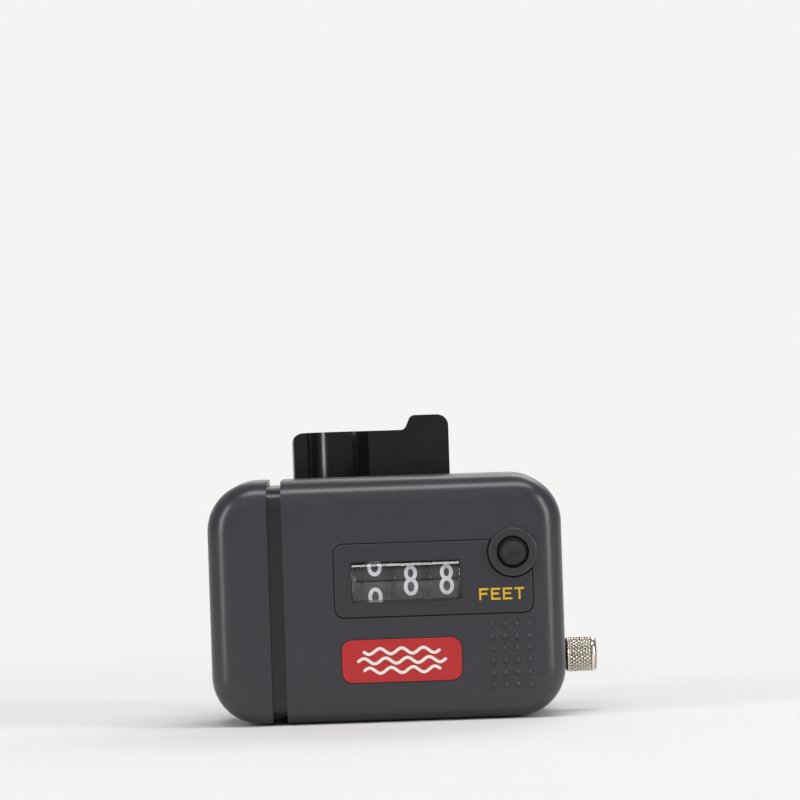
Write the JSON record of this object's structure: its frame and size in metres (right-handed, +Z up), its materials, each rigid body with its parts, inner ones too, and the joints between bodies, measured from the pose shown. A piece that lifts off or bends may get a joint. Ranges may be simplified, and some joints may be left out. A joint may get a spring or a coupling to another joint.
{
  "type": "fishing line counter",
  "caption": "Clip-on mechanical fishing line counter with a knurled measuring roller, number wheels behind a bulged window, a reset button and a sprung rod clamp.",
  "frame": {"origin": "middle of the flat base under the case, at mid depth of the case", "axes": "+X to the roller side, +Y away from the reader of the display towards the rod, +Z up"},
  "size_m": [0.0591, 0.0412, 0.0463],
  "materials": {
    "case_plastic": "satin charcoal ABS, lightly textured",
    "panel_plastic": "satin charcoal plate with a softened edge",
    "lens_clear": "clear polycarbonate",
    "badge_red": "red enamel with a pale plain motif",
    "button_plastic": "black moulded plastic",
    "screw_steel": "zinc plated steel",
    "frame_steel": "blackened steel sheet",
    "shaft_steel": "ground steel",
    "brass": "cut brass",
    "bush_bronze": "sintered bronze",
    "wheel_black": "black acetal with white numbers",
    "pinion_white": "natural acetal",
    "roller_nickel": "nickel plated brass with a diamond knurl",
    "spring_steel": "spring wire",
    "arm_plastic": "glossy black nylon",
    "pad_rubber": "soft black rubber"
  },
  "bodies": {
    "case": {"front_housing": "case_plastic", "rear_housing": "case_plastic", "panel_plate": "panel_plastic", "display_lens": "lens_clear", "badge_plate": "badge_red", "case_screws": "screw_steel", "counter_frame": "frame_steel", "frame_screws": "screw_steel", "gear_plate": "frame_steel", "plate_pillars": "brass", "digit_shaft": "shaft_steel", "pinion_shaft": "shaft_steel", "shaft_clips": "shaft_steel", "roller_bush": "bush_bronze", "roller_washer": "shaft_steel", "saddle_pad": "pad_rubber", "clamp_pin": "shaft_steel", "clamp_pin_clip": "shaft_steel", "clamp_spring": "spring_steel", "reset_spring": "spring_steel"},
    "roller": {"measuring_roller": "roller_nickel", "roller_shaft": "shaft_steel"},
    "first_stage": {"first_gear": "brass", "first_arbor": "shaft_steel"},
    "second_stage": {"second_gear": "brass", "second_arbor": "shaft_steel"},
    "units": {"units_wheel": "wheel_black", "units_drive_gear": "brass"},
    "tens": {"tens_wheel": "wheel_black"},
    "hundreds": {"hundreds_wheel": "wheel_black"},
    "tens_carry": {"tens_carry_pinion": "pinion_white"},
    "hundreds_carry": {"hundreds_carry_pinion": "pinion_white"},
    "button": {"reset_button": "button_plastic", "reset_plunger": "shaft_steel"},
    "comb": {"reset_shaft": "shaft_steel", "reset_comb": "brass", "reset_lever": "brass"},
    "arm": {"clamp_arm": "arm_plastic", "arm_pad": "pad_rubber"}
  },
  "joints": [
    {"name": "roller_spin", "type": "hinge", "parent": "case", "child": "roller", "pos_m": [0.015, 0.001, 0.0086], "axis": [1, 0, 0], "continuous": true},
    {"name": "first_gear_spin", "type": "hinge", "parent": "case", "child": "first_stage", "pos_m": [0.015, -0.0031, 0.01427], "axis": [1, 0, 0], "continuous": true},
    {"name": "second_gear_spin", "type": "hinge", "parent": "case", "child": "second_stage", "pos_m": [0.015, 0.00319, 0.01732], "axis": [1, 0, 0], "continuous": true},
    {"name": "units_wheel_spin", "type": "hinge", "parent": "case", "child": "units", "pos_m": [0.015, -0.0013, 0.0213], "axis": [1, 0, 0], "continuous": true},
    {"name": "tens_wheel_spin", "type": "hinge", "parent": "case", "child": "tens", "pos_m": [0.015, -0.0013, 0.0213], "axis": [1, 0, 0], "continuous": true},
    {"name": "hundreds_wheel_spin", "type": "hinge", "parent": "case", "child": "hundreds", "pos_m": [0.015, -0.0013, 0.0213], "axis": [1, 0, 0], "continuous": true},
    {"name": "tens_carry_spin", "type": "hinge", "parent": "case", "child": "tens_carry", "pos_m": [0.015, 0.00343, 0.01115], "axis": [1, 0, 0], "continuous": true},
    {"name": "hundreds_carry_spin", "type": "hinge", "parent": "case", "child": "hundreds_carry", "pos_m": [0.015, 0.00343, 0.01115], "axis": [1, 0, 0], "continuous": true},
    {"name": "reset_button_press", "type": "slide", "parent": "case", "child": "button", "axis": [0, 1, 0], "range_m": [0, 0.002], "stiffness_N_per_m": 600, "springref_m": -0.001, "deforming": ["reset_spring"]},
    {"name": "reset_comb_swing", "type": "hinge", "parent": "case", "child": "comb", "pos_m": [0.005, 0.0055, 0.0315], "axis": [1, 0, 0], "range_deg": [0, 19.2]},
    {"name": "clamp_arm_open", "type": "hinge", "parent": "case", "child": "arm", "pos_m": [0.0042, 0.0175, 0.027], "axis": [0, 0, -1], "range_deg": [0, 50], "stiffness_Nm_per_rad": 0.05, "springref_deg": -20.05, "deforming": ["clamp_spring"]}
  ],
  "couplings": [
    {"joint": "first_gear_spin", "follows": "roller_spin", "ratio": -0.16667},
    {"joint": "second_gear_spin", "follows": "roller_spin", "ratio": 0.027778},
    {"joint": "units_wheel_spin", "follows": "roller_spin", "ratio": -0.0055556},
    {"joint": "tens_wheel_spin", "follows": "roller_spin", "ratio": -0.00055556},
    {"joint": "hundreds_wheel_spin", "follows": "roller_spin", "ratio": -0.000055556},
    {"joint": "tens_carry_spin", "follows": "roller_spin", "ratio": 0.0013889},
    {"joint": "hundreds_carry_spin", "follows": "roller_spin", "ratio": 0.00013889},
    {"joint": "reset_comb_swing", "follows": "reset_button_press", "rad_per_m": 166.67}
  ]
}
